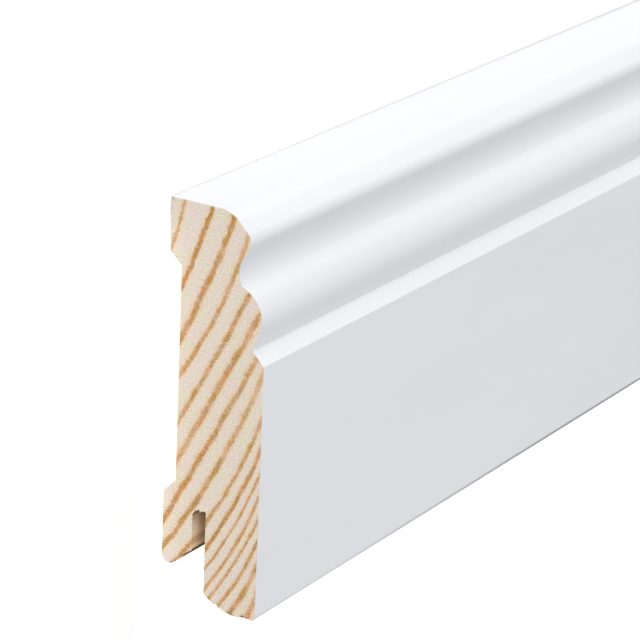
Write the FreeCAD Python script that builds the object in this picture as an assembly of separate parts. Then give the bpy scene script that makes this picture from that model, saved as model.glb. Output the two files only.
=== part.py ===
import FreeCAD, Part
import math
import os

# A length of moulded softwood skirting board, lying flat on its back.
# X runs along the board, Y points to its top edge and Z points out of its front face.
# The origin is under the middle of the board, on the plane that its back rests on.

# Whole board
LENGTH = 2400.0
HEIGHT = 80.0
THICKNESS = 21.0

# Top edge, which falls a little towards the front, and the rounded nose under it.
# These and the stretches below are measured out from the back and down from the top edge.
TOP_FLAT = 10.5
TOP_FALL = 0.35
ROUND_OVER_OUT = 14.9
ROUND_OVER_DOWN = 2.35
NOSE_RADIUS = 2.4
NOSE_TOP_OUT = 16.75
NOSE_TOP_DOWN = 4.33
NOSE_UNDER_OUT = 17.1
NOSE_UNDER_DOWN = 7.1

# Hollow between the nose and the round below it
COVE_RADIUS = 4.9
COVE_TOP_OUT = 15.8
COVE_TOP_DOWN = 9.3
COVE_FOOT_OUT = 15.7
COVE_FOOT_DOWN = 14.4

# Bead, rounder in its upper part than in its lower part
BEAD_UPPER_RADIUS = 6.6
BEAD_LOWER_RADIUS = 14.0
BEAD_TOP_OUT = 17.4
BEAD_TOP_DOWN = 15.4
BEAD_SIDE_OUT = 20.2
BEAD_SIDE_DOWN = 20.9
BEAD_FOOT_OUT = 18.4
BEAD_FOOT_DOWN = 26.5

# Bevel from the foot of the bead out to the flat front
FLAT_START_DOWN = 29.1

# Foot of the front leg, measured up from the bottom edge
FRONT_CORNER_RADIUS = 0.9
SOLE_WIDTH = 5.4
HEEL_RADIUS = 12.0
HEEL_RISE = 3.0

# Groove that the wall clips enter from below, and the short leg behind it
BACK_LEG_THICKNESS = 6.6
GROOVE_WIDTH = 2.9
GROOVE_TOP_UP = 19.4
GROOVE_CORNER_RADIUS = 1.2
BACK_LEG_UP = 7.5
BACK_LEG_RADIUS = 1.7
BACK_LEG_BEVEL_ANGLE = 38.0

# Hollow in the back, between two lands that lie on the wall
RELIEF_DEPTH = 2.6
UPPER_LAND = 10.4
LOWER_LAND_UP = 22.0


def place(out, down):
    """Point of the near end's outline, from its distance out of the back and below the top edge."""
    return FreeCAD.Vector(-LENGTH / 2, HEIGHT / 2 - down, out)


def line(start, end):
    """Straight stretch of the outline between two (out, down) places."""
    return Part.LineSegment(place(*start), place(*end)).toShape()


def arc(start, end, radius, hollow=False):
    """Arc of the outline between two (out, down) places, bulging out of the wood unless hollow."""
    run_out = end[0] - start[0]
    run_down = end[1] - start[1]
    chord = math.hypot(run_out, run_down)
    rise = radius - math.sqrt(radius**2 - (chord / 2)**2)
    if hollow:
        rise = -rise
    middle_out = (start[0] + end[0]) / 2 + rise * run_down / chord
    middle_down = (start[1] + end[1]) / 2 - rise * run_out / chord
    return Part.Arc(place(*start), place(middle_out, middle_down), place(*end)).toShape()


# Places on the front of the outline, from the top edge down
top_back = (0.0, 0.0)
top_front = (TOP_FLAT, TOP_FALL)
round_over_run = ROUND_OVER_OUT - TOP_FLAT
round_over_drop = ROUND_OVER_DOWN - TOP_FALL
# This radius makes the round-over leave the flat top edge without a corner
round_over_turn = math.atan2(round_over_drop, round_over_run) - math.atan2(TOP_FALL, TOP_FLAT)
round_over_radius = math.hypot(round_over_run, round_over_drop) / (2 * math.sin(round_over_turn))
round_over_foot = (ROUND_OVER_OUT, ROUND_OVER_DOWN)
nose_top = (NOSE_TOP_OUT, NOSE_TOP_DOWN)
nose_under = (NOSE_UNDER_OUT, NOSE_UNDER_DOWN)
cove_top = (COVE_TOP_OUT, COVE_TOP_DOWN)
cove_foot = (COVE_FOOT_OUT, COVE_FOOT_DOWN)
bead_top = (BEAD_TOP_OUT, BEAD_TOP_DOWN)
bead_side = (BEAD_SIDE_OUT, BEAD_SIDE_DOWN)
bead_foot = (BEAD_FOOT_OUT, BEAD_FOOT_DOWN)
flat_top = (THICKNESS, FLAT_START_DOWN)
flat_foot = (THICKNESS, HEIGHT - FRONT_CORNER_RADIUS)

# Places round the foot of the front leg
groove_front = BACK_LEG_THICKNESS + GROOVE_WIDTH
sole_front = (THICKNESS - FRONT_CORNER_RADIUS, HEIGHT)
sole_back = (THICKNESS - SOLE_WIDTH, HEIGHT)
heel = (groove_front, HEIGHT - HEEL_RISE)

# Places round the groove and the back leg
bevel = math.radians(BACK_LEG_BEVEL_ANGLE)
groove_down = HEIGHT - GROOVE_TOP_UP
round_down = HEIGHT - BACK_LEG_UP - BACK_LEG_RADIUS
tip_out = BACK_LEG_RADIUS * (1 + math.sin(bevel))
tip_down = round_down + BACK_LEG_RADIUS * math.cos(bevel)
groove_top_front = (groove_front, groove_down)
groove_top_back = (BACK_LEG_THICKNESS + GROOVE_CORNER_RADIUS, groove_down)
groove_wall_top = (BACK_LEG_THICKNESS, groove_down + GROOVE_CORNER_RADIUS)
leg_inside = (BACK_LEG_THICKNESS, tip_down - (BACK_LEG_THICKNESS - tip_out) * math.tan(bevel))
leg_tip = (tip_out, tip_down)
leg_back = (0.0, round_down)

# Places along the back, whose hollow has sides at 45 degrees
lower_land_top = (0.0, HEIGHT - LOWER_LAND_UP)
relief_foot = (RELIEF_DEPTH, HEIGHT - LOWER_LAND_UP - RELIEF_DEPTH)
relief_top = (RELIEF_DEPTH, UPPER_LAND + RELIEF_DEPTH)
upper_land_foot = (0.0, UPPER_LAND)

outline = Part.Wire([
    line(top_back, top_front),
    arc(top_front, round_over_foot, round_over_radius),
    line(round_over_foot, nose_top),
    arc(nose_top, nose_under, NOSE_RADIUS),
    line(nose_under, cove_top),
    arc(cove_top, cove_foot, COVE_RADIUS, hollow=True),
    line(cove_foot, bead_top),
    arc(bead_top, bead_side, BEAD_UPPER_RADIUS),
    arc(bead_side, bead_foot, BEAD_LOWER_RADIUS),
    line(bead_foot, flat_top),
    line(flat_top, flat_foot),
    arc(flat_foot, sole_front, FRONT_CORNER_RADIUS),
    line(sole_front, sole_back),
    arc(sole_back, heel, HEEL_RADIUS),
    line(heel, groove_top_front),
    line(groove_top_front, groove_top_back),
    arc(groove_top_back, groove_wall_top, GROOVE_CORNER_RADIUS, hollow=True),
    line(groove_wall_top, leg_inside),
    line(leg_inside, leg_tip),
    arc(leg_tip, leg_back, BACK_LEG_RADIUS),
    line(leg_back, lower_land_top),
    line(lower_land_top, relief_foot),
    line(relief_foot, relief_top),
    line(relief_top, upper_land_foot),
    line(upper_land_foot, top_back),
])

board = Part.Face(outline).extrude(FreeCAD.Vector(LENGTH, 0, 0))

os.makedirs("parts", exist_ok=True)
board.exportStep("parts/skirting_board.step")

box = board.BoundBox
print("solids", len(board.Solids), "valid", board.isValid(), "volume", round(board.Volume))
print("box", box.XMin, box.XMax, box.YMin, box.YMax, box.ZMin, box.ZMax)
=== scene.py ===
import math
import random

import bmesh
import bpy
import numpy as np
from mathutils import Matrix, Vector

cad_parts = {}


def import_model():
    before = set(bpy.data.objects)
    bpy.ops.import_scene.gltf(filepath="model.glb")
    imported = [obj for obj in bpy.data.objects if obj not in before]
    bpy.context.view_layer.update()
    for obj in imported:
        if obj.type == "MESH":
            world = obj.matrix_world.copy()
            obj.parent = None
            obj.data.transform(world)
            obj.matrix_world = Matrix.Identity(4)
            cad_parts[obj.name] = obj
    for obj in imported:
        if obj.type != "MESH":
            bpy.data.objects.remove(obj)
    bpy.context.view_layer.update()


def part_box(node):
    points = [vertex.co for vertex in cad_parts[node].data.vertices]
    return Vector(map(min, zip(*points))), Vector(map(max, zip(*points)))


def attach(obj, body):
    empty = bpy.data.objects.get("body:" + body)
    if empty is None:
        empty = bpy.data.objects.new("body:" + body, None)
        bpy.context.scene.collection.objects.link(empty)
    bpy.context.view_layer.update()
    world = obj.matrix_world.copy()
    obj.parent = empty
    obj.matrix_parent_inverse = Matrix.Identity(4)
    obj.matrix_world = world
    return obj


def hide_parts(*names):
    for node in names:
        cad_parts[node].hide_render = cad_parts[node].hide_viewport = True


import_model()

MM = 0.001

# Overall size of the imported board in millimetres
LENGTH, HEIGHT, THICKNESS = (round((high - low) / MM, 2)
                             for low, high in zip(*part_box("skirting_board")))

# Section of the board in millimetres, out from its back and down from its top edge
TOP_FLAT = 10.5
TOP_FALL = 0.35
ROUND_OVER = (14.9, 2.35)
NOSE_RADIUS = 2.4
NOSE_TOP = (16.75, 4.33)
NOSE_UNDER = (17.1, 7.1)
COVE_RADIUS = 4.9
COVE_TOP = (15.8, 9.3)
COVE_FOOT = (15.7, 14.4)
BEAD_UPPER_RADIUS = 6.6
BEAD_LOWER_RADIUS = 14.0
BEAD_TOP = (17.4, 15.4)
BEAD_SIDE = (20.2, 20.9)
BEAD_FOOT = (18.4, 26.5)
FLAT_START_DOWN = 29.1
FRONT_CORNER_RADIUS = 0.9
SOLE_WIDTH = 5.4
HEEL_RADIUS = 12.0
HEEL_RISE = 3.0
BACK_LEG_THICKNESS = 6.6
GROOVE_WIDTH = 2.9
GROOVE_TOP_UP = 19.4
GROOVE_CORNER_RADIUS = 1.2
BACK_LEG_UP = 7.5
BACK_LEG_RADIUS = 1.7
BACK_LEG_BEVEL_ANGLE = 38.0
RELIEF_DEPTH = 2.6
UPPER_LAND = 10.4
LOWER_LAND_UP = 22.0

# How finely curves and long straight stretches of the outline are divided
ARC_STEP_DEGREES = 4.0
ARRIS_STEP_DEGREES = 22.0
FRONT_CORNER_STEP_DEGREES = 9.0
HEEL_STEP_DEGREES = 1.2
TIP_STEP_DEGREES = 8.0
STRAIGHT_STEP = 1.0
SOLE_STEP = 0.12
ROOF_STEP = 0.08
WALL_STEP = 0.25
BEVEL_STEP = 0.5
# Small round on the top back arris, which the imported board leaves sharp
ARRIS_RADIUS = 0.1

# Number of places along the middle of the board, cell size on its sawn ends, how near to a point a
# cell's edge may run before it takes that point, and the angle from which an edge looks sharp
MIDDLE_STATIONS = 45
END_CELL = 1.0
CUT_NEARNESS = 1e-7
SHARP_DEGREES = 20.0

# Places in the texture map, whose left half holds both ends and whose right half the long sides
UV_MARGIN = 0.01
UV_HEIGHT = 0.98
UV_SIDES_START = 0.51
UV_SIDES_WIDTH = 0.48
UV_END_WIDTH = 0.23
UV_FAR_END_SHIFT = 0.25

# Latewood lines on the near end, from the upper back to the lower front.
# Each has its place at the front or top, its place at the back or foot, its bow, its width and its
# strength at both ends.
RING_LINES = [
    ((3.0, 0.6), (0.5, 9.3), 0.0, 0.8, 0.8, 0.6),
    ((8.8, 0.8), (3.6, 15.2), 0.15, 1.05, 1.35, 1.4),
    ((13.8, 1.9), (3.0, 27.3), 0.3, 1.35, 1.12, 1.05),
    ((16.7, 5.5), (3.3, 33.8), 1.05, 1.0, 0.75, 0.92),
    ((17.3, 15.9), (2.9, 43.4), 0.4, 1.1, 1.0, 0.92),
    ((20.0, 18.8), (3.0, 51.1), 0.15, 1.35, 0.98, 0.78),
    ((19.3, 28.5), (0.9, 62.8), 0.1, 1.25, 0.88, 1.3),
    ((20.0, 33.4), (0.8, 68.8), 1.15, 1.15, 0.6, 1.2),
    ((20.8, 40.4), (3.4, 71.5), 1.35, 0.9, 0.75, 1.1),
    ((20.8, 46.3), (10.0, 67.4), 0.65, 0.95, 1.15, 1.4),
    ((20.8, 50.9), (10.1, 71.2), 0.7, 0.55, 0.82, 1.0),
    ((20.8, 55.5), (10.2, 75.5), 0.7, 0.8, 0.92, 0.92),
    ((20.9, 59.6), (11.1, 77.2), 0.5, 0.65, 0.75, 0.9),
    ((20.9, 64.3), (13.2, 78.2), 0.5, 0.8, 1.05, 1.05),
    ((21.0, 69.1), (15.8, 79.1), 0.3, 1.25, 0.85, 1.2),
    ((21.0, 75.5), (19.6, 78.8), 0.0, 1.15, 0.75, 0.75),
]
RING_GAP_BEFORE = 4.6
RING_GAP_AFTER = 2.6

# Fibres torn out of the arrises by the saw: out from the back, half width and depth.
# A fibre that hangs out of the wood has a depth below zero.
GROOVE_ROOF_TEARS = [(7.35, 0.16, 0.16), (7.9, 0.22, 0.36), (8.22, 0.12, -0.24), (8.7, 0.24, 0.12),
                     (9.2, 0.28, 0.18)]
SOLE_TEARS = [(10.9, 1.1, 0.05), (12.3, 0.28, 0.35), (13.3, 1.15, 0.12), (15.2, 0.7, 0.1),
              (18.5, 0.75, 0.25), (19.6, 0.35, 0.1)]
# Tears fade along the board: distances from the nearest end, with the share of them left there.
TEAR_STATIONS = [(0.0, 1.0), (0.25, 0.8), (0.6, 0.45), (1.1, 0.12), (1.7, 0.0)]
# Greatest depth of the fine unevenness of all bare stretches at the ends
FUZZ_DEPTH = 0.05
TEAR_SEED = 7
# How square the shoulders of tears, nicks and painted shadows are
BUMP_POWER = 4
# Dark nicks and stains on the sole and painted shadow at the bevel and the back leg's tip, in a
# narrow rim of the sawn ends: out from the back, half width and darkness
NICKS_AND_SHADOWS = {
    "sole": [(10.9, 0.25, 0.6), (15.6, 0.8, 0.6), (18.2, 0.35, 1.6)],
    "bevel": [(5.9, 1.2, 1.5), (3.0, 0.4, 0.7)],
    "tip": [(2.2, 0.5, 0.7)],
}
RIM_WIDTH = 0.2
MARKED_RIM_WIDTH = 0.6
# Painted shade in the groove, which fades below its roof, and on the bevel, which fades along the
# board.
# The stations here and below are distances from the nearest end, with a share for each.
ROOF_PAINTED_SHADE = 0.7
WALL_PAINTED_SHADE = 0.5
PAINTED_SHADE_DEPTH = 3.0
WALL_FOOT_PAINTED_SHADE = 0.6
BEVEL_PAINTED_SHADE_STATIONS = [(5.0, 1.0), (8.0, 0.9), (12.0, 0.5), (20.0, 0.0)]
# Painted shade along the long edges of the finish, hardly any near the ends: for each edge its
# darkness and how many times more slowly than the foot's edge it darkens away from the end
PAINTED_EDGE_SHADES = {"top_edge": (0.4, 1.7), "foot_edge": (0.85, 1.0)}
PAINTED_EDGE_SHADE_STATIONS = [(30.0, 0.05), (60.0, 0.35), (90.0, 0.65), (120.0, 1.0)]
FOOT_PAINTED_SHADE_FADE = 0.35
TOP_PAINTED_SHADE_FADE = 1.1
COATED = ("coat", "top_edge", "foot_edge")

# The board's materials, by their places in its list
COAT, LONG_GRAIN, END_GRAIN = range(3)

# Camera, in metres from the middle of the near end's back, and the picture's upward direction
NEAR_END = -LENGTH / 2 * MM
CAMERA_PLACE = (NEAR_END - 0.552172, 0.231031, 0.341392)
CAMERA_AIM = (NEAR_END + 0.02797, 0.011822, 0.016766)
PICTURE_UP = (0.252492, 0.948809, -0.189761)
LENS_MM = 205.9
SENSOR_MM = 36.0
CAMERA_REACH = 100.0


# Outline of the section

def straight(start, end, step=STRAIGHT_STEP):
    """Points from start up to but not including end."""
    span = math.dist(start, end)
    count = max(1, round(span / step))
    return [(start[0] + (end[0] - start[0]) * i / count, start[1] + (end[1] - start[1]) * i / count)
            for i in range(count)]


def curved(start, end, radius, hollow=False, step=ARC_STEP_DEGREES):
    """Points of an arc from start up to but not including end, bulging outwards unless hollow."""
    run = (end[0] - start[0], end[1] - start[1])
    chord = math.hypot(*run)
    side = -1.0 if hollow else 1.0
    reach = side * math.sqrt(radius**2 - (chord / 2)**2)
    centre = ((start[0] + end[0]) / 2 - reach * run[1] / chord,
              (start[1] + end[1]) / 2 + reach * run[0] / chord)
    first = math.atan2(start[1] - centre[1], start[0] - centre[0])
    turn = side * 2 * math.asin(chord / (2 * radius))
    count = max(2, round(abs(math.degrees(turn)) / step))
    return [(centre[0] + radius * math.cos(first + turn * i / count),
             centre[1] + radius * math.sin(first + turn * i / count)) for i in range(count)]


def outline():
    """The section as (out, down, surface) points, where surface names the stretch that follows."""
    top_front = (TOP_FLAT, TOP_FALL)
    round_run = (ROUND_OVER[0] - TOP_FLAT, ROUND_OVER[1] - TOP_FALL)
    round_turn = math.atan2(round_run[1], round_run[0]) - math.atan2(TOP_FALL, TOP_FLAT)
    round_radius = math.hypot(*round_run) / (2 * math.sin(round_turn))
    groove_front = BACK_LEG_THICKNESS + GROOVE_WIDTH
    groove_down = HEIGHT - GROOVE_TOP_UP
    bevel = math.radians(BACK_LEG_BEVEL_ANGLE)
    round_down = HEIGHT - BACK_LEG_UP - BACK_LEG_RADIUS
    tip = (BACK_LEG_RADIUS * (1 + math.sin(bevel)), round_down + BACK_LEG_RADIUS * math.cos(bevel))
    leg_inside = (BACK_LEG_THICKNESS, tip[1] - (BACK_LEG_THICKNESS - tip[0]) * math.tan(bevel))
    roof_back = (BACK_LEG_THICKNESS + GROOVE_CORNER_RADIUS, groove_down)
    wall_top = (BACK_LEG_THICKNESS, groove_down + GROOVE_CORNER_RADIUS)
    lower_land = HEIGHT - LOWER_LAND_UP
    arris = ARRIS_RADIUS
    flat_foot = (THICKNESS, HEIGHT - FRONT_CORNER_RADIUS)
    fade_start = (THICKNESS, flat_foot[1] - FOOT_PAINTED_SHADE_FADE)
    top_fade_down = TOP_FALL * (TOP_PAINTED_SHADE_FADE - arris) / (TOP_FLAT - arris)
    sole_front = (THICKNESS - FRONT_CORNER_RADIUS, HEIGHT)
    sole_back = (THICKNESS - SOLE_WIDTH, HEIGHT)
    heel = (groove_front, HEIGHT - HEEL_RISE)
    stretches = [
        ("top_edge", curved((0.0, arris), (arris, 0.0), arris, step=ARRIS_STEP_DEGREES)),
        ("top_edge", straight((arris, 0.0), (TOP_PAINTED_SHADE_FADE, top_fade_down))),
        ("coat", straight((TOP_PAINTED_SHADE_FADE, top_fade_down), top_front)),
        ("coat", curved(top_front, ROUND_OVER, round_radius)),
        ("coat", straight(ROUND_OVER, NOSE_TOP)),
        ("coat", curved(NOSE_TOP, NOSE_UNDER, NOSE_RADIUS)),
        ("coat", straight(NOSE_UNDER, COVE_TOP)),
        ("coat", curved(COVE_TOP, COVE_FOOT, COVE_RADIUS, hollow=True)),
        ("coat", straight(COVE_FOOT, BEAD_TOP)),
        ("coat", curved(BEAD_TOP, BEAD_SIDE, BEAD_UPPER_RADIUS)),
        ("coat", curved(BEAD_SIDE, BEAD_FOOT, BEAD_LOWER_RADIUS)),
        ("coat", straight(BEAD_FOOT, (THICKNESS, FLAT_START_DOWN))),
        ("coat", straight((THICKNESS, FLAT_START_DOWN), fade_start)),
        ("coat", straight(fade_start, flat_foot)),
        ("foot_edge", curved(flat_foot, sole_front, FRONT_CORNER_RADIUS,
                             step=FRONT_CORNER_STEP_DEGREES)),
        ("sole", straight(sole_front, sole_back, SOLE_STEP)),
        ("sole", curved(sole_back, heel, HEEL_RADIUS, step=HEEL_STEP_DEGREES)),
        ("bare", straight(heel, (groove_front, groove_down))),
        ("roof", straight((groove_front, groove_down), roof_back, ROOF_STEP)),
        ("roof", curved(roof_back, wall_top, GROOVE_CORNER_RADIUS, hollow=True)),
        ("wall", straight(wall_top, leg_inside, WALL_STEP)),
        ("bevel", straight(leg_inside, tip, BEVEL_STEP)),
        ("tip", curved(tip, (0.0, round_down), BACK_LEG_RADIUS, step=TIP_STEP_DEGREES)),
        ("bare", straight((0.0, round_down), (0.0, lower_land))),
        ("bare", straight((0.0, lower_land), (RELIEF_DEPTH, lower_land - RELIEF_DEPTH))),
        ("bare", straight((RELIEF_DEPTH, lower_land - RELIEF_DEPTH),
                          (RELIEF_DEPTH, UPPER_LAND + RELIEF_DEPTH))),
        ("bare", straight((RELIEF_DEPTH, UPPER_LAND + RELIEF_DEPTH), (0.0, UPPER_LAND))),
        ("bare", straight((0.0, UPPER_LAND), (0.0, arris))),
    ]
    return [(out, down, surface) for surface, points in stretches for out, down in points]


def inward(points):
    """Unit directions into the wood at each point of the outline, in (out, down)."""
    ring = np.array([(p[0], p[1]) for p in points])
    along = np.roll(ring, -1, axis=0) - np.roll(ring, 1, axis=0)
    along /= np.linalg.norm(along, axis=1)[:, None]
    return np.stack([-along[:, 1], along[:, 0]], axis=1)


def tears(points, seed):
    """Depth of torn wood at each point of the outline, in millimetres."""
    chance = random.Random(seed)
    depths = []
    for out, down, surface in points:
        depth = 0.0
        if surface not in COATED:
            depth = FUZZ_DEPTH * chance.random()
        spots = {"roof": GROOVE_ROOF_TEARS, "sole": SOLE_TEARS}.get(surface, [])
        depths.append(depth + bumps(spots, out))
    return np.array(depths)


def bumps(spots, out):
    """Sum of flat-topped bumps given as place, half width and height."""
    return sum(height * math.exp(-((out - place) / half_width)**BUMP_POWER)
               for place, half_width, height in spots)


def painted_shade(points, bevel_keeps, painted_edge_shades):
    """Painted shade of the groove, its bevel and the finish's long edges at each point of the outline.
    """
    wall_top = HEIGHT - GROOVE_TOP_UP + GROOVE_CORNER_RADIUS
    wall_foot = max(down for out, down, surface in points if surface == "wall")
    dark = []
    for out, down, surface in points:
        value = 0.0
        if surface == "roof":
            value = ROOF_PAINTED_SHADE
        elif surface == "wall":
            value = max(WALL_PAINTED_SHADE * (1.0 - (down - wall_top) / PAINTED_SHADE_DEPTH),
                        bevel_keeps * (1.0 - (wall_foot - down) / WALL_FOOT_PAINTED_SHADE), 0.0)
        elif surface == "bevel":
            value = bevel_keeps
        elif surface in painted_edge_shades:
            value = painted_edge_shades[surface]
        dark.append(value)
    return dark


# Growth rings

def past_line(line, out, down):
    """How far places are past a latewood line, away from the pith. The line is a shallow arc."""
    (out_a, down_a), (out_b, down_b), bow = line[:3]
    run = (out_b - out_a, down_b - down_a)
    chord = math.hypot(*run)
    to_pith = (-run[1] / chord, run[0] / chord)
    middle = ((out_a + out_b) / 2, (down_a + down_b) / 2)
    if bow == 0.0:
        return (middle[0] - out) * to_pith[0] + (middle[1] - down) * to_pith[1]
    radius = (chord**2 / 4 + bow**2) / (2 * bow)
    centre = (middle[0] + to_pith[0] * (radius - bow), middle[1] + to_pith[1] * (radius - bow))
    return np.hypot(out - centre[0], down - centre[1]) - radius


def ring_field(out, down):
    """At places of the section: the ring count, whole on a latewood line, the line's half width as a
    share of a ring, and the line's strength."""
    past = np.array([past_line(line, out, down) for line in RING_LINES])
    looks = np.array([line_looks(line, out, down) for line in RING_LINES])
    field = np.zeros((3, len(out)))
    for i in range(len(out)):
        not_past = np.nonzero(past[:, i] <= 0)[0]
        last = (not_past[0] if len(not_past) else len(RING_LINES)) - 1
        if last < 0:
            gap, done = RING_GAP_BEFORE, RING_GAP_BEFORE + past[0, i]
            width, strength = looks[0, :, i]
        elif last == len(RING_LINES) - 1:
            gap, done = RING_GAP_AFTER, past[last, i]
            width, strength = looks[last, :, i]
        else:
            gap, done = past[last, i] - past[last + 1, i], past[last, i]
            here, ahead = looks[last, :, i], looks[last + 1, :, i]
            width, strength = here + (ahead - here) * done / gap
        field[:, i] = last + 1 + done / gap, width / 2 / gap, strength
    return field


def line_looks(line, out, down):
    """A latewood line's width and strength abreast of places of the section."""
    (out_a, down_a), (out_b, down_b), bow, width, start, end = line
    run = (out_b - out_a, down_b - down_a)
    along = ((out - out_a) * run[0] + (down - down_a) * run[1]) / (run[0]**2 + run[1]**2)
    return np.full(len(out), width), start + (end - start) * np.clip(along, 0.0, 1.0)


# Board mesh

def stations():
    """Places along the board, from the near end on, closer together towards both ends."""
    ahead = sorted({x for x, keep in TEAR_STATIONS + BEVEL_PAINTED_SHADE_STATIONS + PAINTED_EDGE_SHADE_STATIONS})
    between = np.linspace(ahead[-1], LENGTH - ahead[-1], MIDDLE_STATIONS)[1:-1]
    places = ahead + [float(x) for x in between] + [LENGTH - x for x in reversed(ahead)]
    return [x - LENGTH / 2 for x in places]


def keeps(stretch, x, slower=1.0):
    """How much is left of something that changes with the distance from the nearest end."""
    distances, shares = zip(*stretch)
    return float(np.interp((LENGTH / 2 - abs(x)) / slower, distances, shares))


def outline_rows(mesh, points, flat, into):
    """One closed row of points round the section at each place along the board."""
    torn = mesh.verts.layers.float.new("torn")
    shade_layer = mesh.verts.layers.float.new("painted_shade")
    mark_layer = mesh.verts.layers.float.new("nick_and_shadow")
    near_tears = tears(points, TEAR_SEED)
    far_tears = tears(points, TEAR_SEED + 1)
    marks = [bumps(NICKS_AND_SHADOWS.get(surface, []), out) for out, down, surface in points]
    rows = []
    for x in stations():
        torn_share = keeps(TEAR_STATIONS, x)
        depth = (near_tears if x < 0 else far_tears) * torn_share
        shifted = flat + into * depth[:, None]
        # Painted shade along the finish's long edges, at this place along the board
        edges = {edge: darkness * keeps(PAINTED_EDGE_SHADE_STATIONS, x, slower)
                 for edge, (darkness, slower) in PAINTED_EDGE_SHADES.items()}
        shades = painted_shade(points, keeps(BEVEL_PAINTED_SHADE_STATIONS, x), edges)
        row = []
        for (out, down), pulled, dark, nick_and_shadow in zip(shifted, depth, shades, marks):
            vert = mesh.verts.new((x * MM, (HEIGHT / 2 - down) * MM, out * MM))
            vert[torn] = abs(pulled)
            vert[shade_layer] = dark
            vert[mark_layer] = nick_and_shadow * torn_share
            row.append(vert)
        rows.append(row)
    return rows


def add_sides(mesh, rows, points, flat, layout):
    """Long faces between the rows, each with its material and its place in the texture map."""
    travel = np.concatenate([[0.0], np.cumsum(np.linalg.norm(np.diff(flat, axis=0), axis=1))])
    girth = travel[-1] + math.dist(flat[-1], flat[0])
    for near, far in zip(rows[:-1], rows[1:]):
        for i in range(len(points)):
            j = (i + 1) % len(points)
            face = mesh.faces.new((near[i], near[j], far[j], far[i]))
            face.material_index = COAT if points[i][2] in COATED else LONG_GRAIN
            face.smooth = True
            spans = (travel[i], girth if j == 0 else travel[j])
            for loop, span in zip(face.loops, (spans[0], spans[1], spans[1], spans[0])):
                along = (loop.vert.co.x / MM + LENGTH / 2) / LENGTH
                loop[layout].uv = (UV_SIDES_START + UV_SIDES_WIDTH * span / girth,
                                   UV_MARGIN + UV_HEIGHT * along)


def add_ends(mesh, rows, points, into):
    """Both sawn ends, each a narrow rim round an inner face."""
    rim = [MARKED_RIM_WIDTH if surface in NICKS_AND_SHADOWS else RIM_WIDTH for out, down, surface in points]
    for row, near in ((rows[0], True), (rows[-1], False)):
        inner = [mesh.verts.new(vert.co + Vector((0.0, -down, out)) * width * MM)
                 for vert, (out, down), width in zip(row, into, rim)]
        loops = [inner]
        for i in range(len(row)):
            j = (i + 1) % len(row)
            loops.append([row[i], row[j], inner[j], inner[i]])
        for loop in loops:
            end = mesh.faces.new(list(reversed(loop)) if near else loop)
            end.material_index = END_GRAIN


def cut_ends(mesh):
    """Cuts both ends into cells, so that their points lie close enough together to follow the rings."""
    for axis, low, high in ((1, -HEIGHT / 2, HEIGHT / 2), (2, 0.0, THICKNESS)):
        for cut in np.arange(low + END_CELL, high, END_CELL):
            place = Vector((0, 0, 0))
            place[axis] = cut * MM
            normal = Vector((0, 0, 0))
            normal[axis] = 1.0
            faces = [f for f in mesh.faces if f.material_index == END_GRAIN]
            edges = dict.fromkeys(e for f in faces for e in f.edges)
            verts = dict.fromkeys(v for f in faces for v in f.verts)
            bmesh.ops.bisect_plane(mesh, geom=[*faces, *edges, *verts], dist=CUT_NEARNESS,
                                   plane_co=place, plane_no=normal)


def map_ends(mesh, layout):
    """Lays both ends side by side in the texture map."""
    for face in mesh.faces:
        if face.material_index != END_GRAIN:
            continue
        shift = 0.0 if face.calc_center_median().x < 0 else UV_FAR_END_SHIFT
        for loop in face.loops:
            co = loop.vert.co
            loop[layout].uv = (UV_MARGIN + shift + UV_END_WIDTH * co.z / (THICKNESS * MM),
                               UV_MARGIN + UV_HEIGHT * (co.y / (HEIGHT * MM) + 0.5))


def board_mesh():
    """The whole board as one closed mesh that knows at each point where it lies in a growth ring."""
    points = outline()
    into = inward(points)
    flat = np.array([(p[0], p[1]) for p in points])
    mesh = bmesh.new()
    layout = mesh.loops.layers.uv.new("OFBake")
    rows = outline_rows(mesh, points, flat, into)
    add_sides(mesh, rows, points, flat, layout)
    add_ends(mesh, rows, points, into)
    cut_ends(mesh)
    map_ends(mesh, layout)

    data = bpy.data.meshes.new("skirting_board_visual")
    mesh.normal_update()
    mesh.to_mesh(data)
    mesh.free()
    places = np.zeros(len(data.vertices) * 3)
    data.vertices.foreach_get("co", places)
    places = places.reshape(-1, 3) / MM
    field = ring_field(places[:, 2], HEIGHT / 2 - places[:, 1])
    for name, values in zip(("ring_count", "ring_share", "ring_strength"), field):
        layer = data.attributes.new(name, "FLOAT", "POINT")
        layer.data.foreach_set("value", values.astype(np.float32))
    data.set_sharp_from_angle(angle=math.radians(SHARP_DEGREES))
    return data


# Materials

# Latewood darkens slowly on the pith's side of a line and ends sharply on the other side.
# Each place is in half widths of the line, with the share of latewood or of yellower wood there.
LATEWOOD_RISE = [(-3.0, 0.0), (-2.1, 0.03), (-1.5, 0.1), (-1.22, 0.24), (-1.0, 0.58), (-0.8, 0.86),
                 (-0.55, 0.98), (-0.2, 1.0), (0.15, 1.0), (0.4, 0.94), (0.6, 0.74), (0.8, 0.34),
                 (1.0, 0.09), (1.35, 0.0)]
HALO_RISE = [(-3.6, 0.0), (-2.2, 0.2), (-1.4, 0.65), (-0.6, 1.0), (0.6, 1.0), (1.2, 0.6), (2.0, 0.15),
             (3.0, 0.0)]
# Distance from the line, in half widths, at which the ramps made from both end
RISE_REACH = 4.0

# Colours of the sawn ends, of the bare long faces and of the finish
EARLYWOOD_ROSE = (0.745, 0.623, 0.593)
EARLYWOOD_STRAW = (0.702, 0.667, 0.501)
HALO_WOOD = (0.8, 0.57, 0.365)
LATEWOOD_ORANGE = (0.557, 0.258, 0.094)
LATEWOOD_OCHRE = (0.44, 0.248, 0.052)
LATEWOOD_BROWN = (0.42, 0.263, 0.142)
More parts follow.
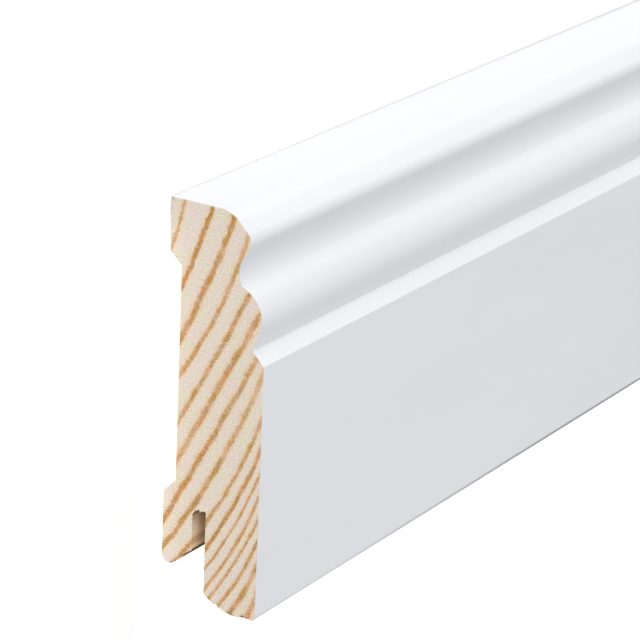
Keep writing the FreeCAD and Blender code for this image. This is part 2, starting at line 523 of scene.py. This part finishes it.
# Painted glints: highlights of light on fibre ends, laid into the colour
FIBRE_GLINT = (0.93, 0.87, 0.76)
# Dark brown of torn wood, also the painted shade in tears and the painted shadow at the ends' rim
TORN_WOOD_AND_SHADE = (0.12, 0.06, 0.03)
LONG_EARLYWOOD = (0.72, 0.58, 0.42)
LONG_EARLYWOOD_PALE = (0.82, 0.70, 0.54)
LONG_LATEWOOD = (0.55, 0.34, 0.17)
# Painted shade in the groove and on its bevel: warm below the roof, dark where it is deepest
WARM_PAINTED_SHADE = (0.30, 0.13, 0.035)
DARK_PAINTED_SHADE = (0.07, 0.045, 0.03)
COAT_COOL = (0.765, 0.775, 0.80)
COAT_PALE = (0.785, 0.795, 0.815)
# Painted shade along the finish's long edges
PAINTED_EDGE_SHADE = (0.28, 0.29, 0.31)

# Noise over the sawn ends: waves to a millimetre, how many finer layers it has and, unless it is
# the usual half, how strong they are
SWAY_NOISE = (0.16, 2.0)
RAGGED_NOISE = (1.2, 1.0)
WIDTH_NOISE = (0.45, 1.0)
UNEVEN_NOISE = (0.3, 2.0)
FLECK_NOISE = (1.9, 2.0)
CLOUD_NOISE = (0.3, 3.0)
HUE_NOISE = (0.2, 2.0)
BROWN_NOISE = (0.35, 1.0)
SPECK_NOISE = (1.8, 2.0)
GRAIN_NOISE = (2.6, 3.0, 0.7)
GLINT_NOISE = (3.4, 2.0, 0.6)

# The same for the saw marks, the bare long faces and the finish, where the scales below set how
# long a wave is
SAW_NOISE = (1.0, 2.0)
LONG_SWAY_NOISE = (1.0, 2.0)
FIBRE_NOISE = (1.0, 4.0, 0.6)
COAT_NOISE = (1.0, 3.0)

# Scales of the object's metres along X, Y and Z before a noise is laid over them
PER_MM = (1000.0, 1000.0, 1000.0)
SAW_MARKS = (1000.0, 500.0, 5200.0)
LONG_SWAY = (6.0, 30.0, 30.0)
LONG_FIBRES = (40.0, 2600.0, 2600.0)
COAT_CLOUDS = (12.0, 60.0, 60.0)
COAT_PEEL = (500.0, 900.0, 900.0)

# Ranges of a value over which a change runs from none to full. A noise is mostly in the usual one.
USUAL_RANGE = (0.3, 0.7)
HUE_RANGE = (0.38, 0.62)
BROWN_RANGE = (0.5, 0.7)
GLINT_RANGE = (0.61, 0.76)
WHOLE_RANGE = (0.0, 1.0)

# How much the latewood lines wander, in rings, and how much their widths and strengths vary
LINE_SWAY = 0.05
LINE_RAGGEDNESS = 0.022
LINE_WIDTHS = (0.85, 1.25)
LINE_UNEVENNESS = (0.6, 1.18)
LINE_FLECKS = (0.74, 1.2)
LONG_LINE_SWAY = 0.35

# How much specks and grain darken or lighten the wood, and the most of each colour laid over it
LINE_GREYS = (0.78, 1.24)
GRAIN_GREYS = (0.80, 1.14)
HALO_SHARE = 0.7
BROWN_SHARE = 0.9
GLINT_SHARE = 0.55
LONG_LATEWOOD_SHARE = 0.85
# Share of the painted glints on earlywood, and how much more of them is on latewood
GLINTS_ON_EARLYWOOD = 0.9
GLINTS_ADDED = 0.4

# Shares of warm painted shade, dark painted shade, torn wood and nicks with painted shadow for a
# full measure of each in the mesh, and what is taken off those of dark painted shade and nicks, so
# that faint traces of them don't show
WARM_SHADE_SHARE = 1.1
DARK_SHADE_SHARE = 2.0
DARK_SHADE_TAKEN = 1.0
TORN_SHARE = 2.0
NICK_AND_SHADOW_SHARE = 1.2
NICK_AND_SHADOW_TAKEN = 0.15

# Roughness and gloss of the sawn ends, from earlywood to latewood, of the bare long faces, where
# painted shade and torn wood take the gloss away, and of the finish and the floor
END_ROUGHNESS = (0.8, 0.62)
END_GLOSS = 0.2
LONG_ROUGHNESS = (0.55, 0.75)
LONG_GLOSS = (0.3, 0.0)
COAT_ROUGHNESS = (0.36, 0.44)
COAT_GLOSS = 0.45
FLOOR_ROUGHNESS = 0.9
FLOOR_GLOSS = 0.1

# Fine relief: its strength and its height in metres. On the ends, the grain's and the latewood's
# parts are heights next to the saw marks'.
END_RELIEF = (0.5, 0.0001)
LONG_RELIEF = (0.4, 0.0001)
COAT_RELIEF = (0.12, 0.00005)
GRAIN_HEIGHT = 0.8
LATEWOOD_HEIGHT = 0.4

# Places of the colour sockets among a mix node's inputs and outputs
MIX_FACTOR = 0
MIX_FIRST = 6
MIX_SECOND = 7
MIX_RESULT = 2


def new_material(name):
    """A material with its node tree and its shader."""
    material = bpy.data.materials.new(name)
    material.use_nodes = True
    tree = material.node_tree
    return material, tree, tree.nodes["Principled BSDF"]


def put(tree, socket, value):
    """Links a socket to another, or sets its value."""
    if isinstance(value, bpy.types.NodeSocket):
        tree.links.new(value, socket)
    else:
        socket.default_value = value


def node(tree, kind, inputs=None, **settings):
    """A node with its settings and with its named inputs linked or set."""
    made = tree.nodes.new(kind)
    for name, value in settings.items():
        setattr(made, name, value)
    for name, value in (inputs or {}).items():
        put(tree, made.inputs[name], value)
    return made


def maths(tree, operation, first, second=0.0, third=0.0, clamp=False):
    """Result of a sum on up to three values or sockets."""
    made = node(tree, "ShaderNodeMath", operation=operation, use_clamp=clamp)
    for i, value in enumerate((first, second, third)):
        put(tree, made.inputs[i], value)
    return made.outputs[0]


def ramp(tree, factor, stops):
    """Grey that runs straight from stop to stop."""
    made = node(tree, "ShaderNodeValToRGB", {"Fac": factor})
    elements = made.color_ramp.elements
    while len(elements) > 1:
        elements.remove(elements[-1])
    for i, (place, grey) in enumerate(stops):
        element = elements[0] if i == 0 else elements.new(place)
        element.position = place
        element.color = (grey, grey, grey, 1.0)
    return made.outputs["Color"]


def blend(tree, factor, first, second, mode="MIX"):
    """Two colours mixed, or the second laid over the first in another mode."""
    made = node(tree, "ShaderNodeMix", data_type="RGBA", blend_type=mode)
    put(tree, made.inputs[MIX_FACTOR], factor)
    for i, colour in ((MIX_FIRST, first), (MIX_SECOND, second)):
        put(tree, made.inputs[i], (*colour, 1.0) if isinstance(colour, tuple) else colour)
    return made.outputs[MIX_RESULT]


def stretched(tree, scale):
    """Object coordinates stretched by a scale for each axis."""
    found = node(tree, "ShaderNodeTexCoord").outputs["Object"]
    return node(tree, "ShaderNodeMapping", {"Vector": found, "Scale": scale}).outputs["Vector"]


def noise(tree, vector, scale, detail=2.0, roughness=0.5):
    return node(tree, "ShaderNodeTexNoise", {"Vector": vector, "Scale": scale, "Detail": detail,
                                             "Roughness": roughness}).outputs["Fac"]


def attribute(tree, name):
    return node(tree, "ShaderNodeAttribute", attribute_name=name).outputs["Fac"]


def spread(tree, factor, low, high, between=USUAL_RANGE):
    """Noise stretched so that the given range of its values runs from low to high."""
    limits = {"From Min": between[0], "From Max": between[1], "To Min": low, "To Max": high}
    return node(tree, "ShaderNodeMapRange", {"Value": factor, **limits}).outputs["Result"]


def spread_grey(tree, factor, low, high):
    """A grey to multiply a colour by, from noise."""
    value = spread(tree, factor, low, high)
    same = {"X": value, "Y": value, "Z": value}
    return node(tree, "ShaderNodeCombineXYZ", same).outputs["Vector"]


def soft_step(tree, value, low, high):
    """Rises smoothly from 0 at low to 1 at high."""
    return node(tree, "ShaderNodeMapRange", {"Value": value, "From Min": low, "From Max": high},
                interpolation_type="SMOOTHSTEP").outputs["Result"]


def add_relief(tree, shader, height, strength, reach):
    """Lets the light fall on a surface as if it rose and sank with a height."""
    bump = node(tree, "ShaderNodeBump", {"Strength": strength, "Distance": reach, "Height": height})
    tree.links.new(bump.outputs["Normal"], shader.inputs["Normal"])


def from_line(tree, wobble):
    """Distance from the nearest latewood line, in half widths of that line."""
    moved = maths(tree, "ADD", attribute(tree, "ring_count"), wobble)
    beside = maths(tree, "SUBTRACT", maths(tree, "FRACT", maths(tree, "ADD", moved, 0.5)), 0.5)
    return maths(tree, "DIVIDE", beside, attribute(tree, "ring_share"))


def across_line(tree, distance, rise):
    """A share that changes with the distance from the nearest latewood line."""
    per_place = 0.5 / RISE_REACH
    across = maths(tree, "MULTIPLY_ADD", distance, per_place, 0.5)
    return ramp(tree, across, [(0.5 + per_place * place, share) for place, share in rise])


def end_grain():
    """Sawn ends: latewood lines over paler wood, with specks, painted glints, and nicks and painted
    shadow at the rim.
    """
    material, tree, shader = new_material("sawn_end_grain")
    place = stretched(tree, PER_MM)
    sway = spread(tree, noise(tree, place, *SWAY_NOISE), -LINE_SWAY, LINE_SWAY)
    ragged = spread(tree, noise(tree, place, *RAGGED_NOISE), -LINE_RAGGEDNESS, LINE_RAGGEDNESS)
    distance = from_line(tree, maths(tree, "ADD", sway, ragged))
    narrowing = spread(tree, noise(tree, place, *WIDTH_NOISE), *LINE_WIDTHS)
    distance = maths(tree, "MULTIPLY", distance, narrowing)
    uneven = spread(tree, noise(tree, place, *UNEVEN_NOISE), *LINE_UNEVENNESS)
    flecks = spread(tree, noise(tree, place, *FLECK_NOISE), *LINE_FLECKS)
    strength = maths(tree, "MULTIPLY", attribute(tree, "ring_strength"),
                     maths(tree, "MULTIPLY", uneven, flecks))
    late = maths(tree, "MULTIPLY", across_line(tree, distance, LATEWOOD_RISE), strength, clamp=True)

    cloud = spread(tree, noise(tree, place, *CLOUD_NOISE), 0.0, 1.0)
    early = blend(tree, cloud, EARLYWOOD_ROSE, EARLYWOOD_STRAW)
    yellow = maths(tree, "MULTIPLY", across_line(tree, distance, HALO_RISE), HALO_SHARE)
    early = blend(tree, yellow, early, HALO_WOOD)
    hue = spread(tree, noise(tree, place, *HUE_NOISE), 0.0, 1.0, HUE_RANGE)
    dark = blend(tree, hue, LATEWOOD_ORANGE, LATEWOOD_OCHRE)
    brown = spread(tree, noise(tree, place, *BROWN_NOISE), 0.0, BROWN_SHARE, BROWN_RANGE)
    dark = blend(tree, brown, dark, LATEWOOD_BROWN)
    specks = spread_grey(tree, noise(tree, place, *SPECK_NOISE), *LINE_GREYS)
    dark = blend(tree, 1.0, dark, specks, "MULTIPLY")

    colour = blend(tree, late, early, dark)
    grain = noise(tree, place, *GRAIN_NOISE)
    colour = blend(tree, 1.0, colour, spread_grey(tree, grain, *GRAIN_GREYS), "MULTIPLY")
    # Painted glints, more of them on latewood
    glints = spread(tree, noise(tree, place, *GLINT_NOISE), 0.0, GLINT_SHARE, GLINT_RANGE)
    by_wood = maths(tree, "MULTIPLY_ADD", late, GLINTS_ADDED, GLINTS_ON_EARLYWOOD)
    colour = blend(tree, maths(tree, "MULTIPLY", glints, by_wood), colour, FIBRE_GLINT)
    # Nicks, and painted shadow at the bevel and the back leg's tip, in the dark colour of torn wood
    nick_and_shadow = maths(tree, "MULTIPLY_ADD", attribute(tree, "nick_and_shadow"), NICK_AND_SHADOW_SHARE, -NICK_AND_SHADOW_TAKEN, clamp=True)
    colour = blend(tree, nick_and_shadow, colour, TORN_WOOD_AND_SHADE)
    put(tree, shader.inputs["Base Color"], colour)
    put(tree, shader.inputs["Roughness"], spread(tree, late, *END_ROUGHNESS, WHOLE_RANGE))
    put(tree, shader.inputs["Specular IOR Level"], END_GLOSS)
    saw_marks = noise(tree, stretched(tree, SAW_MARKS), *SAW_NOISE)
    rough = maths(tree, "MULTIPLY_ADD", grain, GRAIN_HEIGHT, saw_marks)
    add_relief(tree, shader, maths(tree, "MULTIPLY_ADD", late, LATEWOOD_HEIGHT, rough), *END_RELIEF)
    return material


def bare_long_grain():
    """Bare long faces, whose latewood streaks meet the lines on the ends, with painted shade in the
    groove and tears darkened as painted shade.
    """
    material, tree, shader = new_material("bare_planed_softwood")
    waves = noise(tree, stretched(tree, LONG_SWAY), *LONG_SWAY_NOISE)
    distance = from_line(tree, spread(tree, waves, -LONG_LINE_SWAY, LONG_LINE_SWAY))
    late = maths(tree, "MULTIPLY", across_line(tree, distance, LATEWOOD_RISE), LONG_LATEWOOD_SHARE)
    fibres = noise(tree, stretched(tree, LONG_FIBRES), *FIBRE_NOISE)
    early = blend(tree, spread(tree, fibres, 0.0, 1.0), LONG_EARLYWOOD, LONG_EARLYWOOD_PALE)
    colour = blend(tree, late, early, LONG_LATEWOOD)
    # Painted shade in the groove and on its bevel, warm at first and dark where it is strongest
    shade_mask = attribute(tree, "painted_shade")
    warm_shade = maths(tree, "MULTIPLY", shade_mask, WARM_SHADE_SHARE, clamp=True)
    colour = blend(tree, warm_shade, colour, WARM_PAINTED_SHADE)
    dark_shade = maths(tree, "MULTIPLY_ADD", shade_mask, DARK_SHADE_SHARE, -DARK_SHADE_TAKEN, clamp=True)
    colour = blend(tree, dark_shade, colour, DARK_PAINTED_SHADE)
    # Tears darkened in the colour of torn wood, as painted shade
    ragged = maths(tree, "MULTIPLY", attribute(tree, "torn"), TORN_SHARE, clamp=True)
    colour = blend(tree, ragged, colour, TORN_WOOD_AND_SHADE)
    put(tree, shader.inputs["Base Color"], colour)
    put(tree, shader.inputs["Roughness"], spread(tree, fibres, *LONG_ROUGHNESS))
    dull = maths(tree, "MAXIMUM", shade_mask, ragged)
    put(tree, shader.inputs["Specular IOR Level"], spread(tree, dull, *LONG_GLOSS, WHOLE_RANGE))
    add_relief(tree, shader, fibres, *LONG_RELIEF)
    return material


def white_coat():
    """White satin finish with a faint unevenness and painted shade along its long edges, where the mesh
    says so.
    """
    material, tree, shader = new_material("white_satin_finish")
    clouds = noise(tree, stretched(tree, COAT_CLOUDS), *COAT_NOISE)
    colour = blend(tree, ramp(tree, clouds, zip(USUAL_RANGE, WHOLE_RANGE)), COAT_COOL, COAT_PALE)
    # Painted shade along the long edges of the finish
    colour = blend(tree, attribute(tree, "painted_shade"), colour, PAINTED_EDGE_SHADE)
    put(tree, shader.inputs["Base Color"], colour)
    peel = noise(tree, stretched(tree, COAT_PEEL), *COAT_NOISE)
    put(tree, shader.inputs["Roughness"], ramp(tree, peel, zip(USUAL_RANGE, COAT_ROUGHNESS)))
    put(tree, shader.inputs["Specular IOR Level"], COAT_GLOSS)
    add_relief(tree, shader, peel, *COAT_RELIEF)
    return material


# Floor, light and camera

FLOOR_SIZE = 30.0
FLOOR_DROP = 0.0002
FLOOR_GREY = (0.95, 0.95, 0.95, 1.0)
GLOW_COLOUR = (1.0, 1.0, 1.0, 1.0)
FLOOR_GLOW = 0.14
# Painted light: the floor glows more under the board and past its foot, so that hardly a shadow shows
# there.
# Each pair of places is where that starts and where it is full.
UNDER_GLOW = 0.45
UNDER_GLOW_FOOT = [(-HEIGHT / 2 - past) * MM for past in (60.0, 20.0)]
UNDER_GLOW_HEAD = [(HEIGHT / 2 - short) * MM for short in (2.0, 10.0)]
UNDER_GLOW_END = [(LENGTH / 2 + past) * MM for past in (10.0, 0.0)]
WORLD_COLOUR = (0.97, 0.985, 1.0, 1.0)
WORLD_LIGHT = 0.415
SUN_SOFTNESS_DEGREES = 36.0
# Each sun's direction from the board and its strength
SUNS = {
    "above_front": ((0.0, 0.9, 0.43), 1.06),
    "near_end": ((-1.0, 0.0, 1.2), 1.43),
    "far_end": ((1.0, 1.0, 0.3), 0.6),
}


def floor():
    bpy.ops.mesh.primitive_plane_add(size=FLOOR_SIZE, location=(0, 0, -FLOOR_DROP))
    made = bpy.context.object
    made.name = "floor"
    material, tree, shader = new_material("pale_floor")
    put(tree, shader.inputs["Base Color"], FLOOR_GREY)
    put(tree, shader.inputs["Roughness"], FLOOR_ROUGHNESS)
    put(tree, shader.inputs["Specular IOR Level"], FLOOR_GLOSS)
    put(tree, shader.inputs["Emission Color"], GLOW_COLOUR)
    place = node(tree, "ShaderNodeTexCoord").outputs["Object"]
    apart = node(tree, "ShaderNodeSeparateXYZ", {"Vector": place}).outputs
    under = maths(tree, "MULTIPLY", soft_step(tree, apart["Y"], *UNDER_GLOW_FOOT),
                  soft_step(tree, apart["Y"], *UNDER_GLOW_HEAD))
    from_middle = maths(tree, "ABSOLUTE", apart["X"])
    under = maths(tree, "MULTIPLY", under, soft_step(tree, from_middle, *UNDER_GLOW_END))
    put(tree, shader.inputs["Emission Strength"],
        maths(tree, "MULTIPLY_ADD", under, UNDER_GLOW, FLOOR_GLOW))
    made.data.materials.append(material)


def sun(name, direction, strength):
    light = bpy.data.lights.new(name, "SUN")
    light.angle = math.radians(SUN_SOFTNESS_DEGREES)
    light.energy = strength
    made = bpy.data.objects.new(name, light)
    made.rotation_euler = Vector(direction).to_track_quat("Z", "Y").to_euler()
    bpy.context.collection.objects.link(made)


def world():
    made = bpy.data.worlds.new("soft_room")
    made.use_nodes = True
    background = made.node_tree.nodes["Background"]
    background.inputs["Color"].default_value = WORLD_COLOUR
    background.inputs["Strength"].default_value = WORLD_LIGHT
    bpy.context.scene.world = made


def camera():
    data = bpy.data.cameras.new("camera")
    data.lens = LENS_MM
    data.sensor_width = SENSOR_MM
    data.clip_end = CAMERA_REACH
    made = bpy.data.objects.new("camera", data)
    ahead = (Vector(CAMERA_AIM) - Vector(CAMERA_PLACE)).normalized()
    right = ahead.cross(Vector(PICTURE_UP)).normalized()
    up = right.cross(ahead)
    turned = Matrix((right, up, -ahead)).transposed().to_4x4()
    made.matrix_world = Matrix.Translation(Vector(CAMERA_PLACE)) @ turned
    bpy.context.collection.objects.link(made)
    bpy.context.scene.camera = made


def board():
    made = bpy.data.objects.new("skirting_board_visual", board_mesh())
    bpy.context.collection.objects.link(made)
    for material in (white_coat(), bare_long_grain(), end_grain()):
        made.data.materials.append(material)
    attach(made, "root")
    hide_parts("skirting_board")


board()
floor()
world()
for sun_name, (towards, strength) in SUNS.items():
    sun(sun_name, towards, strength)
camera()
bpy.context.scene.view_settings.view_transform = "Standard"
